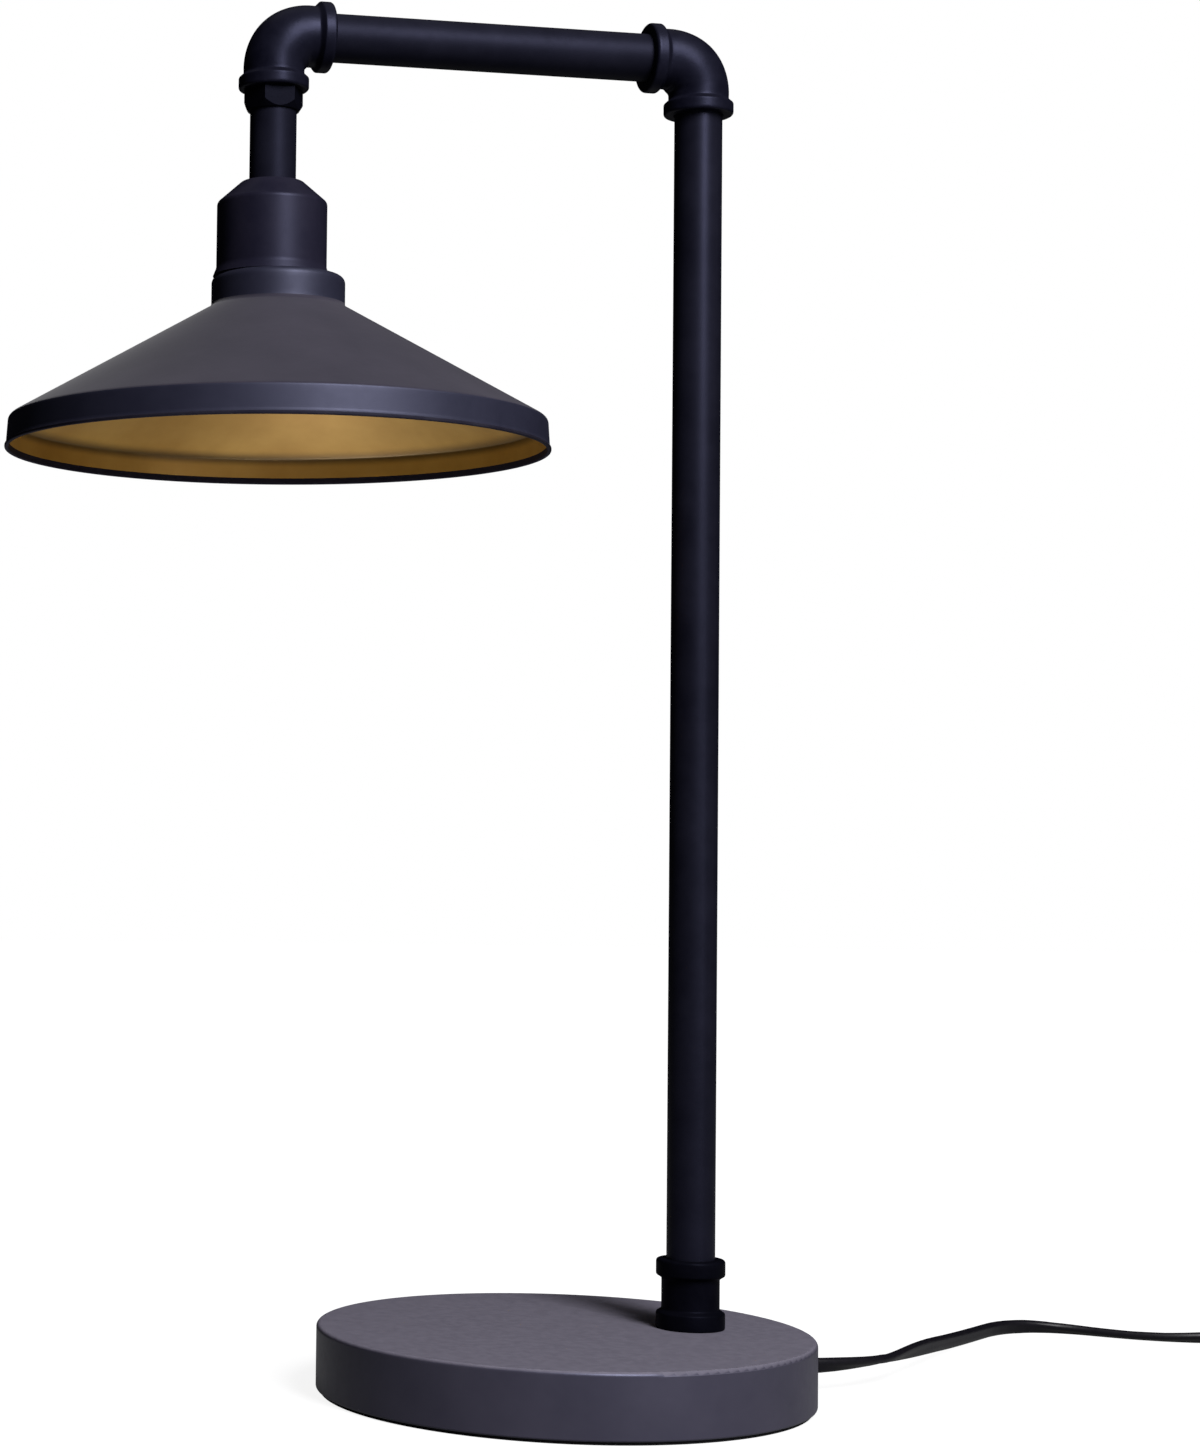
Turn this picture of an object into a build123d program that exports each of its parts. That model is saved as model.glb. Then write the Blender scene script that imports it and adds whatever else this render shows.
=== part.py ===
from build123d import *
import math
import os

# Table lamp made of half inch pipe fittings. Millimetres, +Z up.
# The origin is the centre of the base's underside. The post stands off centre
# towards +X, and the arm reaches back over the base towards -X.

# ---- clearances ----
running_gap = 0.05        # radial, between a turning shaft and its hole
thread_gap = 0.05         # radial, between drawn thread cylinders
seat_gap = 0.1            # between pieces that are dropped into a seat
lead_gap = 1.0            # radial, between an inner lead and a drilled way
cut_margin = 1.0          # how far a cutting shape runs past the face it cuts

# ---- base ----
base_radius = 108.5
base_height = 29.5        # from the table to the top face
base_edge_round = 1.8
base_foot_round = 0.9
pad_thickness = 1.5
pad_inset = 2.0
base_web = 8.0            # top wall over the hollow
hollow_radius = 80.0
cover_thickness = 2.0
cover_ledge = 4.0         # width of the ledge that carries the cover plate
boss_radius = 6.5
boss_circle = 75.0
cover_screw_count = 3
screw_radius = 2.0
screw_head_radius = 3.9
screw_length = 9.0

# ---- pipe and fittings ----
pipe_radius = 10.65
pipe_bore_radius = 7.88
post_offset = 58.5        # post axis from the base's centre
arm_height = 597.0        # arm axis above the table
arm_reach = 197.0         # post axis to drop axis
band_radius = 15.5
fitting_radius = 13.4
elbow_bend = 15.5         # centreline radius of an elbow
elbow_end = 25.0          # elbow centre to the face of its band
elbow_band = 5.2
elbow_bevel = 1.9
elbow_chamfer = 1.0
elbow_socket = 11.5       # depth of the elbow's threaded socket
coupling_height = 30.5
coupling_band = 7.0
coupling_bevel = 1.5
coupling_radius = 12.7
coupling_band_radius = 15.1
coupling_step_round = 0.7
coupling_top_round = 0.9
coupling_foot_round = 0.5
nipple_engagement = 13.5  # how far the nipple stands in the coupling
nipple_tail = 6.9         # how far it reaches below the base's web
post_engagement = 15.0
washer_radius = 17.0
washer_thickness = 2.0
locknut_flats = 27.0
locknut_thickness = 4.4

# ---- swivel and drop tube ----
collar_flats = 23.0
collar_hex_height = 6.2
collar_taper = 3.2
collar_nose_radius = 11.3
collar_thread_length = 6.0
stem_radius = 6.5
stem_bore_radius = 4.5
stem_top_space = 0.8      # stem above its nut
stem_short = 1.0          # stem ends this far above the upper bushing's end
stem_nut_flats = 17.0
stem_nut_thickness = 4.0
swivel_washer_radius = 9.4
swivel_washer_thickness = 1.0
drop_radius = 10.25
drop_bore_radius = 8.4
drop_seat_depth = 4.0     # drop tube inside the collar
drop_length = 35.6
top_bushing_length = 14.0
bottom_bushing_length = 11.0

# ---- socket cup ----
cup_sheet = 1.2
cup_radius = 24.2
cup_top_radius = 13.6
cup_chamfer_height = 9.4
cup_height = 41.7
cup_flare_height = 3.6
cup_flare = 1.4
cup_top_round = 2.0
cup_shoulder_round = 2.6
cup_flare_round = 4.0
cup_nipple_radius = 5.0
cup_nipple_bore_radius = 3.5
cup_nipple_up = 9.5
cup_nipple_down = 17.0
cup_locknut_flats = 14.0
cup_locknut_thickness = 3.5

# ---- lamp holder ----
holder_radius = 19.8
holder_thread_radius = 16.2  # sleeve that goes through the shade
holder_round = 2.0
holder_top_gap = 4.5      # holder below the cup's locknut
holder_skirt = 9.5        # holder below the shade's top sheet
holder_bore_radius = 14.0
shell_wall = 0.6
shell_length = 24.0
shell_lift = 2.0          # sleeve above the holder's mouth
contact_lift = 1.0        # contact strip above the sleeve
contact_thickness = 0.6
contact_length = 14.0
contact_width = 5.0
contact_button_radius = 2.4
contact_button_height = 1.5
terminal_radius = 2.0
terminal_head_radius = 3.1
terminal_head_height = 1.4
terminal_depth = 8.0
terminal_drop = 9.0

# ---- shade ----
shade_sheet = 1.2
shade_offset = 3.2        # the shade is clamped off the cup's axis, towards the post
shade_play = 3.3          # radial, between the holder's sleeve and the shade's hole
neck_radius = 29.3
neck_height = 13.5
neck_round = 3.2
neck_fillet = 2.5
cone_bottom_radius = 117.7
cone_height = 50.8
rim_radius = 118.5
rim_height = 13.0
rim_fillet = 2.2
rim_lip = 0.6
ring_radius = 23.9
ring_height = 6.0
ring_round = 1.2

# ---- bulb ----
globe_radius = 22.5
globe_reach = 44.1        # from the cap's mouth to the bottom of the globe
globe_lean = 40.0         # degrees above the globe's middle where the neck's cone starts
glass_wall = 0.9
glass_neck_fall = 2.0     # straight neck below the cap's mouth
glass_neck_rise = 6.0     # straight neck inside the cap
glass_neck_radius = 12.3
cap_radius = 13.1
cap_wall = 0.6
cap_length = 18.0
cap_cone = 4.5
cap_cone_radius = 6.0
cap_plate = 1.5           # thickness of the insulating end
cap_shoulder = 0.5
filament_radius = 0.8
filament_circle = 5.0
filament_count = 4
filament_length = 15.0
stem_plate_radius = 6.6
stem_plate = 1.0
stem_foot = 2.0           # thickness of the disc sealed in the neck
stem_rod_radius = 2.2

# ---- wiring inside the pipes ----
lead_radius = 2.2
lead_low = 6.6            # lowest point of the lead's axis, in the base
lead_run_out = 6.0        # how far the lead runs level into the hollow
lead_dip_bend = 40.0
lead_rise_bend = 10.0
lead_elbow_bend = 12.5
lead_cut = 0.2            # where the lead is parted at a turning joint
lead_in_stem = 2.0        # end of the head's lead below the swivel stem's top

# ---- mains cord, on the table ----
cord_radius = 3.5
cord_exit_height = 12.0
relief_inner = 92.0       # inner end of the strain relief, from the base's centre
relief_radius = 5.2
relief_recess = 0.3       # strain relief below the base's side
relief_round = 0.8
relief_split = 98.0       # the cord's sheath starts here, inside the relief
lead_straight = 43.0      # the cord runs straight this far from where its sheath starts
lead_bends = [
    (197.0, 58.5, 9.8), (236.0, 105.5, 4.8), (298.0, 164.5, 3.5), (359.5, 112.0, 3.5), (397.0, 107.0, 4.8),
]
lead_turn_in = 83.0       # Y of the last bend before the switch
link_straight = 6.0       # the cord runs straight this far out of the switch
link_fall = 14.0          # Y of the link's second bend, from the coil's centre
link_end = 2.0            # Y of the link's end, from the coil's centre
tail_bends = [(337.0, -20.0), (346.0, -1.0)]
tail_straight = 14.0      # the cord runs straight this far behind the plug
cord_clamped = 2.0        # length of cord inside the switch past its end wall
coil_centre = (372.4, -36.0)
coil_middle_radius = 37.6
coil_columns = 3
coil_layers = 2
coil_corner = 2.8

# ---- in-line switch, its length along Y ----
switch_far = 68.0
switch_length = 60.0
switch_width = 22.0
switch_base_height = 6.5
switch_cover_height = 9.0
switch_wall = 1.8
switch_end_wall = 10.0
switch_corner = 6.0
switch_foot_bevel = 0.8
switch_top_round = 3.0
rocker_width = 9.0
rocker_half_length = 9.5
rocker_rise = 3.0
rocker_dip = 2.2
rocker_depth = 3.0
rocker_skirt = 0.6        # the rocker's ends below its pivot
rocker_tilt = 9.0
rocker_slot_gap = 0.7
rocker_side_gap = 0.3
rocker_pin_radius = 1.0
rocker_pin_skin = 0.6     # cover left over the ends of the pin's seat
rocker_pivot_below_top = 3.3
switch_screw_radius = 1.25
switch_screw_head_radius = 2.4
switch_screw_head = 1.6
switch_screw_inset = 5.0
switch_screw_side = 7.0
switch_screw_sink = 0.4
switch_screw_cap = 3.4    # cover above the screws' ends
strip_width = 3.0
strip_thickness = 0.6
strip_length = 15.0
strip_tab = 5.0

# ---- plug ----
plug_rear = (366.0, 27.0)
plug_heading = 62.0       # degrees from +X
plug_length = 30.0
plug_width = 24.0
plug_height = 16.0
plug_round = 3.0
plug_waist = 15.0         # width at the cord's end
plug_shoulder = 13.5      # from the cord's end to the full width
plug_side_round = 2.0
blade_width = 6.3
blade_thickness = 1.5
blade_length = 17.0
blade_spacing = 12.7
blade_inside = 8.0
blade_tip_round = 1.4

# ---- places worked out from the sizes above ----
web_underside = base_height - base_web
relief_face = base_radius - relief_recess
head_x = post_offset - arm_reach
elbow_face_height = arm_height - elbow_end
post_top = elbow_face_height + elbow_socket
arm_start = post_offset - elbow_end + elbow_socket
arm_finish = head_x + elbow_end - elbow_socket
coupling_top = base_height + coupling_height
collar_hex_bottom = elbow_face_height - collar_hex_height
collar_bottom = collar_hex_bottom - collar_taper
collar_top = elbow_face_height + collar_thread_length
drop_top = collar_bottom + drop_seat_depth
stem_top = collar_top + swivel_washer_thickness + stem_nut_thickness + stem_top_space
stem_bottom = drop_top - top_bushing_length + stem_short
drop_bottom = drop_top - drop_length
cup_bottom = drop_bottom - cup_height
shade_top = cup_bottom
shade_underside = shade_top - shade_sheet
rim_top = shade_top - neck_height - cone_height
rim_bottom = rim_top - rim_height
cup_inside_top = drop_bottom - cup_sheet
holder_top = cup_inside_top - cup_locknut_thickness - holder_top_gap
holder_bottom = shade_underside - holder_skirt
shell_bottom = holder_bottom + shell_lift
shell_top = shell_bottom + shell_length
contact_top = shell_top + contact_lift
contact_bottom = contact_top - contact_thickness
bulb_tip = contact_bottom - contact_button_height
cap_top = bulb_tip - contact_button_height - cap_cone
cap_bottom = cap_top - cap_length
globe_middle = cap_bottom - globe_reach + globe_radius
hole_radius = pipe_radius + thread_gap
cord_diameter = 2 * cord_radius
coil_half_width = coil_columns * cord_radius
coil_outer_turn = coil_middle_radius + coil_half_width - cord_radius
switch_x = coil_centre[0] + coil_outer_turn
switch_near = switch_far - switch_length
switch_top = switch_base_height + switch_cover_height
switch_inside_top = switch_top - switch_wall
rocker_pivot = switch_top - rocker_pivot_below_top

os.makedirs("parts", exist_ok=True)


def save(name, *solids):
    """Write one node, one or several solids, to its STEP file."""
    shape = solids[0] if len(solids) == 1 else Compound(children=list(solids))
    export_step(shape, f"parts/{name}.step")


def at(shape, x=0.0, y=0.0, z=0.0):
    return Pos(x, y, z) * shape


def turned(outline, rounds=()):
    """Revolve a closed (radius, height) outline; rounds holds (point, radius)."""
    face = make_face(Polyline(*outline, close=True))
    for point, radius in rounds:
        corner = face.vertices().sort_by_distance((point[0], point[1], 0))[0]
        face = fillet(corner, radius)
    return revolve(Plane.XZ * face, Axis.Z)


def rod(radius, low, high):
    return extrude(Plane.XY.offset(low) * Circle(radius), high - low)


def tube(radius, bore, low, high):
    return extrude(Plane.XY.offset(low) * (Circle(radius) - Circle(bore)), high - low)


def hex_nut(flats, bore, low, height):
    outline = RegularPolygon(flats / 2, 6, major_radius=False) - Circle(bore)
    return extrude(Plane.XY.offset(low) * outline, height)


def box(low, high):
    size = [b - a for a, b in zip(low, high)]
    middle = [(a + b) / 2 for a, b in zip(low, high)]
    return Pos(*middle) * Box(*size)


def along_x(shape):
    """Turn a shape built along +Z so that it lies along +X."""
    return Rot(0, 90, 0) * shape


def corner_radii(points, share=0.45):
    """Arc radius for each corner: a share of the shorter run over tan(half turn)."""
    radii = []
    for before, here, after in zip(points, points[1:], points[2:]):
        arriving = Vector(*here) - Vector(*before)
        leaving = Vector(*after) - Vector(*here)
        half_turn = math.radians(arriving.get_angle(leaving)) / 2
        radii.append(share * min(arriving.length, leaving.length) / math.tan(half_turn))
    return radii


def bent_tube(name, points, radius, radii=None):
    """A round tube along straight runs joined by tangent arcs."""
    if len(points) > 2:
        radii = radii or corner_radii(points)
        path = FilletPolyline(*points, radius=radii)
        print(name, "radii", [round(r, 1) for r in radii], end=" ")
    else:
        path = Line(*points)
        print(name, "straight", end=" ")
    section = Plane(origin=path @ 0, z_dir=path % 0) * Circle(radius)
    solid = sweep(section, path=path)
    expected = math.pi * radius ** 2 * path.length
    print("length", round(path.length, 1), "volume share", round(solid.volume / expected, 4))
    return solid


# ---- base ----
def make_base():
    top, under = base_height, pad_thickness
    ledge_radius = hollow_radius + cover_ledge
    cover_top = under + cover_thickness
    casting = turned(
        [
            (0, web_underside), (hollow_radius, web_underside), (hollow_radius, cover_top),
            (ledge_radius, cover_top), (ledge_radius, under), (base_radius, under),
            (base_radius, top), (0, top),
        ],
        [((base_radius, top), base_edge_round), ((base_radius, under), base_foot_round)],
    )
    screw_top = under + screw_length
    turns = [360 * (i + 0.5) / cover_screw_count for i in range(cover_screw_count)]
    for turn in turns:
        boss = at(rod(boss_radius, cover_top, web_underside), boss_circle)
        casting += Rot(0, 0, turn) * boss
    for turn in turns:
        hole = at(rod(screw_radius + thread_gap, cover_top, screw_top + seat_gap), boss_circle)
        casting -= Rot(0, 0, turn) * hole
    casting -= at(rod(hole_radius, web_underside, top), post_offset)
    relief_hole = along_x(rod(relief_radius + seat_gap, relief_inner, base_radius))
    lead_hole = along_x(rod(lead_radius + lead_gap, hollow_radius - boss_radius, relief_inner))
    casting -= at(relief_hole + lead_hole, 0, 0, cord_exit_height)
    save("base_casting", casting)

    save("felt_pad", rod(base_radius - pad_inset, 0, pad_thickness))

    cover = rod(ledge_radius - seat_gap, under, cover_top)
    screws = []
    head_height = screw_head_radius - screw_radius
    for turn in turns:
        head = Cone(screw_head_radius, screw_radius, head_height)
        head = Pos(0, 0, under + head_height / 2) * head
        screw = at(head + rod(screw_radius, under, screw_top), boss_circle)
        sink = Cone(screw_head_radius + seat_gap, screw_radius + seat_gap, head_height)
        sink = Pos(0, 0, under + head_height / 2) * sink
        clear = at(sink + rod(screw_radius + seat_gap, under, cover_top), boss_circle)
        screws.append(Rot(0, 0, turn) * screw)
        cover -= Rot(0, 0, turn) * clear
    save("cover_plate", cover)
    save("cover_screws", *screws)

    relief = turned(
        [(0, relief_inner), (relief_radius, relief_inner), (relief_radius, relief_face), (0, relief_face)],
        [((relief_radius, relief_face), relief_round)],
    )
    relief -= rod(cord_radius + thread_gap, relief_split, relief_face)
    relief -= rod(lead_radius + thread_gap, relief_inner, relief_split)
    save("strain_relief", at(along_x(relief), 0, 0, cord_exit_height))


def make_foot():
    nipple_low = web_underside - nipple_tail
    nipple_high = base_height + nipple_engagement
    save("base_nipple", at(tube(pipe_radius, pipe_bore_radius, nipple_low, nipple_high), post_offset))
    washer_low = web_underside - washer_thickness
    save("base_washer", at(tube(washer_radius, hole_radius, washer_low, web_underside), post_offset))
    nut_low = washer_low - locknut_thickness
    save("base_locknut", at(hex_nut(locknut_flats, hole_radius, nut_low, locknut_thickness), post_offset))

    low, high = base_height, coupling_top
    outline = [
        (hole_radius, low), (coupling_band_radius, low), (coupling_band_radius, low + coupling_band),
        (coupling_radius, low + coupling_band + coupling_bevel),
        (coupling_radius, high - coupling_band - coupling_bevel),
        (coupling_band_radius, high - coupling_band), (coupling_band_radius, high), (hole_radius, high),
    ]
    rounds = [
        ((coupling_band_radius, low), coupling_foot_round),
        ((coupling_band_radius, low + coupling_band), coupling_step_round),
        ((coupling_band_radius, high - coupling_band), coupling_step_round),
        ((coupling_band_radius, high), coupling_top_round),
    ]
    save("foot_coupling", at(turned(outline, rounds), post_offset))


# ---- pipes and elbows ----
def make_pipes():
    post_low = coupling_top - post_engagement
    save("post_pipe", at(tube(pipe_radius, pipe_bore_radius, post_low, post_top), post_offset))
    arm = along_x(tube(pipe_radius, pipe_bore_radius, arm_finish, arm_start))
    save("arm_pipe", at(arm, 0, 0, arm_height))


def elbow():
    """A 90 degree elbow about its centre: one socket faces -Z, the other -X."""
    straight = elbow_end - elbow_bend
    bend_path = CenterArc((-elbow_bend, -elbow_bend), elbow_bend, 0, 90)
    bend_path = Plane.XZ * bend_path
    start = Plane(origin=bend_path @ 0, z_dir=bend_path % 0)
    band = turned(
        [
            (0, -elbow_end), (band_radius, -elbow_end), (band_radius, -elbow_end + elbow_band),
            (fitting_radius, -elbow_end + elbow_band + elbow_bevel), (fitting_radius, -elbow_bend),
            (0, -elbow_bend),
        ]
    )
    mouth_edge = band.edges().filter_by(GeomType.CIRCLE).sort_by(Axis.Z)[0]
    band = chamfer(mouth_edge, elbow_chamfer)
    socket = rod(hole_radius, -elbow_end, -elbow_end + elbow_socket)
    side = Rot(0, 90, 0)
    body = band + side * band + sweep(start * Circle(fitting_radius), path=bend_path)
    way = sweep(start * Circle(pipe_bore_radius), path=bend_path)
    stub = rod(pipe_bore_radius, -elbow_bend - straight, -elbow_bend)
    body -= way + stub + side * stub
    body -= socket
    body -= side * socket
    return body


def make_elbows():
    save("post_elbow", at(elbow(), post_offset, 0, arm_height))
    save("head_elbow", at(Rot(0, 0, 180) * elbow(), head_x, 0, arm_height))


# ---- swivel and drop tube ----
def make_swivel():
    hexagon = RegularPolygon(collar_flats / 2, 6, major_radius=False)
    blank = extrude(Plane.XY.offset(collar_bottom) * hexagon, collar_hex_height + collar_taper)
    reach = collar_flats / math.sqrt(3)
    nose = turned(
        [
            (0, collar_bottom), (collar_nose_radius, collar_bottom), (reach, collar_hex_bottom),
            (reach, elbow_face_height), (0, elbow_face_height),
        ]
    )
    collar = blank & nose
    collar += rod(pipe_radius, elbow_face_height, collar_top)
    collar -= rod(stem_radius + running_gap, drop_top, collar_top)
    collar -= rod(drop_radius + running_gap, collar_bottom, drop_top)
    save("swivel_collar", at(collar, head_x))

    washer_top = collar_top + swivel_washer_thickness
    washer = tube(swivel_washer_radius, stem_radius + seat_gap, collar_top, washer_top)
    save("swivel_washer", at(washer, head_x))
    nut = hex_nut(stem_nut_flats, stem_radius + thread_gap, washer_top, stem_nut_thickness)
    save("stem_nut", at(nut, head_x))
    save("swivel_stem", at(tube(stem_radius, stem_bore_radius, stem_bottom, stem_top), head_x))
    save("drop_tube", at(tube(drop_radius, drop_bore_radius, drop_bottom, drop_top), head_x))
    plug_radius = drop_bore_radius - thread_gap
    top_bushing = tube(plug_radius, stem_radius + thread_gap, drop_top - top_bushing_length, drop_top)
    save("drop_top_bushing", at(top_bushing, head_x))
    bottom_high = drop_bottom + bottom_bushing_length
    low_bushing = tube(plug_radius, cup_nipple_radius + thread_gap, drop_bottom, bottom_high)
    save("drop_bottom_bushing", at(low_bushing, head_x))


# ---- socket cup and lamp holder ----
def sheet_profile(points, radii, thickness):
    """A sheet's section: the outer line with rounded corners, thickened inwards."""
    line = FilletPolyline(*points, radius=radii)
    return offset(line, amount=thickness, side=Side.RIGHT)


def make_cup():
    top, low = drop_bottom, cup_bottom
    hole = cup_nipple_radius + thread_gap
    outline = [
        (hole, top), (cup_top_radius, top), (cup_radius, top - cup_chamfer_height),
        (cup_radius, low + cup_flare_height), (cup_radius + cup_flare, low),
    ]
    wire = sheet_profile(outline, [cup_top_round, cup_shoulder_round, cup_flare_round], cup_sheet)
    cup = revolve(Plane.XZ * make_face(wire), Axis.Z)
    below = rod(cup_radius + 2 * cup_flare, low - 2 * cup_sheet, low)
    bore = rod(hole, low, top)
    save("socket_cup", at(cup - below - bore, head_x))

    nipple_low = top - cup_nipple_down
    nipple = tube(cup_nipple_radius, cup_nipple_bore_radius, nipple_low, top + cup_nipple_up)
    save("cup_nipple", at(nipple, head_x))
    nut = hex_nut(cup_locknut_flats, hole, cup_inside_top - cup_locknut_thickness, cup_locknut_thickness)
    save("cup_locknut", at(nut, head_x))


def make_holder():
    nipple_low = drop_bottom - cup_nipple_down
    body = turned(
        [
            (0, holder_bottom), (holder_thread_radius, holder_bottom), (holder_thread_radius, shade_top),
            (holder_radius, shade_top), (holder_radius, holder_top), (0, holder_top),
        ],
        [((holder_radius, holder_top), holder_round)],
    )
    body -= rod(holder_bore_radius, holder_bottom, contact_top)
    body -= rod(lead_radius + lead_gap, contact_top, holder_top)
    body -= rod(cup_nipple_radius + thread_gap, nipple_low, holder_top)
    screws = []
    for side in (0, 180):
        screw = rod(terminal_radius, holder_radius - terminal_depth, holder_radius)
        head_top = holder_radius + terminal_head_height
        screw += rod(terminal_head_radius, holder_radius, head_top)
        hole = rod(terminal_radius + thread_gap, holder_radius - terminal_depth, holder_radius)
        place = Pos(0, 0, holder_top - terminal_drop) * Rot(0, 0, side)
        body -= place * along_x(hole)
        screws.append(at(place * along_x(screw), head_x))
    save("socket_body", at(body, head_x))
    save("terminal_screws", *screws)

    shell_radius = holder_bore_radius - thread_gap
    shell = tube(shell_radius, shell_radius - shell_wall, shell_bottom, shell_top)
    save("socket_shell", at(shell, head_x))
    half_length, half_width = contact_length / 2, contact_width / 2
    strip = box((-half_length, -half_width, contact_bottom), (half_length, half_width, contact_top))
    strip += rod(contact_button_radius, bulb_tip, contact_bottom)
    save("socket_contact", at(strip, head_x))


# ---- shade ----
def make_shade():
    hole = holder_thread_radius + shade_play
    outline = [
        (hole, shade_top), (neck_radius, shade_top), (neck_radius, shade_top - neck_height),
        (cone_bottom_radius, rim_top), (rim_radius, rim_bottom),
    ]
    wire = sheet_profile(outline, [neck_round, neck_fillet, rim_fillet], shade_sheet)
    shade = revolve(Plane.XZ * make_face(wire), Axis.Z)
    shade -= rod(hole, shade_underside - cut_margin, shade_top + cut_margin)
    shade -= rod(rim_radius + cut_margin, rim_bottom - cut_margin, rim_bottom)
    lip = tube(rim_radius + rim_lip, rim_radius - shade_sheet, rim_bottom, rim_bottom + 2 * rim_lip)
    rim_edges = lip.edges().filter_by(GeomType.CIRCLE).filter_by(lambda e: e.radius > rim_radius)
    shade += fillet(rim_edges, rim_lip / 2)
    save("shade", at(shade, head_x + shade_offset))

    ring_low = shade_underside - ring_height
    ring_bore = holder_thread_radius + thread_gap
    ring = turned(
        [
            (ring_bore, ring_low), (ring_radius, ring_low),
            (ring_radius, shade_underside), (ring_bore, shade_underside),
        ],
        [((ring_radius, ring_low), ring_round), ((ring_radius, shade_underside), ring_round)],
    )
    save("shade_ring", at(ring, head_x))


# ---- bulb ----
def make_bulb():
    cone_top = cap_top + cap_cone
    plate_low = cone_top - cap_plate
    cap = turned(
        [
            (cap_radius - cap_wall, cap_bottom), (cap_radius, cap_bottom), (cap_radius, cap_top),
            (cap_cone_radius, cone_top), (contact_button_radius, cone_top),
            (contact_button_radius, bulb_tip), (0, bulb_tip), (0, plate_low),
            (cap_cone_radius - cap_wall, plate_low), (cap_radius - cap_wall, cap_top - cap_shoulder),
        ]
    )
    save("bulb_cap", at(cap, head_x))

    lean = math.radians(globe_lean)

    def globe(radius, neck):
        """Solid of a sphere that runs into a neck over a cone."""
        top = cap_bottom + glass_neck_rise
        join = (radius * math.cos(lean), globe_middle + radius * math.sin(lean))
        bottom = (0, globe_middle - radius)
        edge = ThreePointArc(bottom, (radius, globe_middle), join)
        shoulder = Polyline(join, (neck, cap_bottom - glass_neck_fall), (neck, top), (0, top), bottom)
        return revolve(Plane.XZ * make_face([edge, *shoulder.edges()]), Axis.Z)

    inner_neck_radius = glass_neck_radius - glass_wall
    glass = globe(globe_radius, glass_neck_radius) - globe(globe_radius - glass_wall, inner_neck_radius)
    save("bulb_glass", at(glass, head_x))

    foot_low = cap_bottom - stem_foot / 2
    low_plate = foot_low - filament_length - stem_plate
    stem = rod(inner_neck_radius - thread_gap, foot_low, foot_low + stem_foot)
    stem += rod(stem_rod_radius, low_plate, foot_low)
    stem += rod(stem_plate_radius, low_plate, low_plate + stem_plate)
    for i in range(filament_count):
        filament = at(rod(filament_radius, low_plate, foot_low), filament_circle)
        stem += Rot(0, 0, 360 * i / filament_count) * filament
    save("bulb_stem", at(stem, head_x))


# ---- wiring inside the pipes ----
def make_leads():
    post_lead_top = post_top + lead_cut
    post_route = [
        (relief_split, 0, cord_exit_height), (hollow_radius - lead_run_out, 0, cord_exit_height),
        (post_offset, 0, lead_low), (post_offset, 0, post_lead_top),
    ]
    save("post_lead", bent_tube("post_lead", post_route, lead_radius, [lead_dip_bend, lead_rise_bend]))
    arm_route = [
        (post_offset, 0, post_lead_top + lead_cut), (post_offset, 0, arm_height),
        (arm_finish, 0, arm_height),
    ]
    save("arm_lead", bent_tube("arm_lead", arm_route, lead_radius, [lead_elbow_bend]))
    head_lead_low = stem_top - lead_in_stem
    head_route = [
        (arm_finish - lead_cut, 0, arm_height), (head_x, 0, arm_height), (head_x, 0, head_lead_low),
    ]
    save("head_lead", bent_tube("head_lead", head_route, lead_radius, [lead_elbow_bend]))
    drop_route = [(head_x, 0, head_lead_low - lead_cut), (head_x, 0, contact_top)]
    save("drop_lead", bent_tube("drop_lead", drop_route, lead_radius))


# ---- mains cord ----
def make_cord():
    lead_route = [
        (relief_split, 0, cord_exit_height),
        (relief_split + lead_straight, 0, cord_exit_height),
        *lead_bends,
        (switch_x, lead_turn_in, switch_base_height),
        (switch_x, switch_far - switch_end_wall - cord_clamped, switch_base_height),
    ]
    save("cord_lead", bent_tube("cord_lead", lead_route, cord_radius))
    link_route = [
        (switch_x, switch_near + switch_end_wall + cord_clamped, switch_base_height),
        (switch_x, switch_near - link_straight, switch_base_height),
        (switch_x, coil_centre[1] + link_fall, cord_radius),
        (switch_x, coil_centre[1] + link_end, cord_radius),
    ]
    save("cord_link", bent_tube("cord_link", link_route, cord_radius))

    inner = coil_middle_radius - coil_half_width
    outer = coil_middle_radius + coil_half_width
    height = coil_layers * cord_diameter
    corners = [(inner, 0), (outer, 0), (outer, height), (inner, height)]
    coil = turned(corners, [(corner, coil_corner) for corner in corners])
    save("cord_coil", at(coil, *coil_centre))

    heading = math.radians(plug_heading)
    back_x = plug_rear[0] - tail_straight * math.cos(heading)
    back_y = plug_rear[1] - tail_straight * math.sin(heading)
    plug_axis = plug_height / 2
    top_turn = height - cord_radius
    tail_route = [(x, y, top_turn) for x, y in tail_bends]
    tail_route += [(back_x, back_y, plug_axis), (*plug_rear, plug_axis)]
    save("cord_tail", bent_tube("cord_tail", tail_route, cord_radius))


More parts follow.
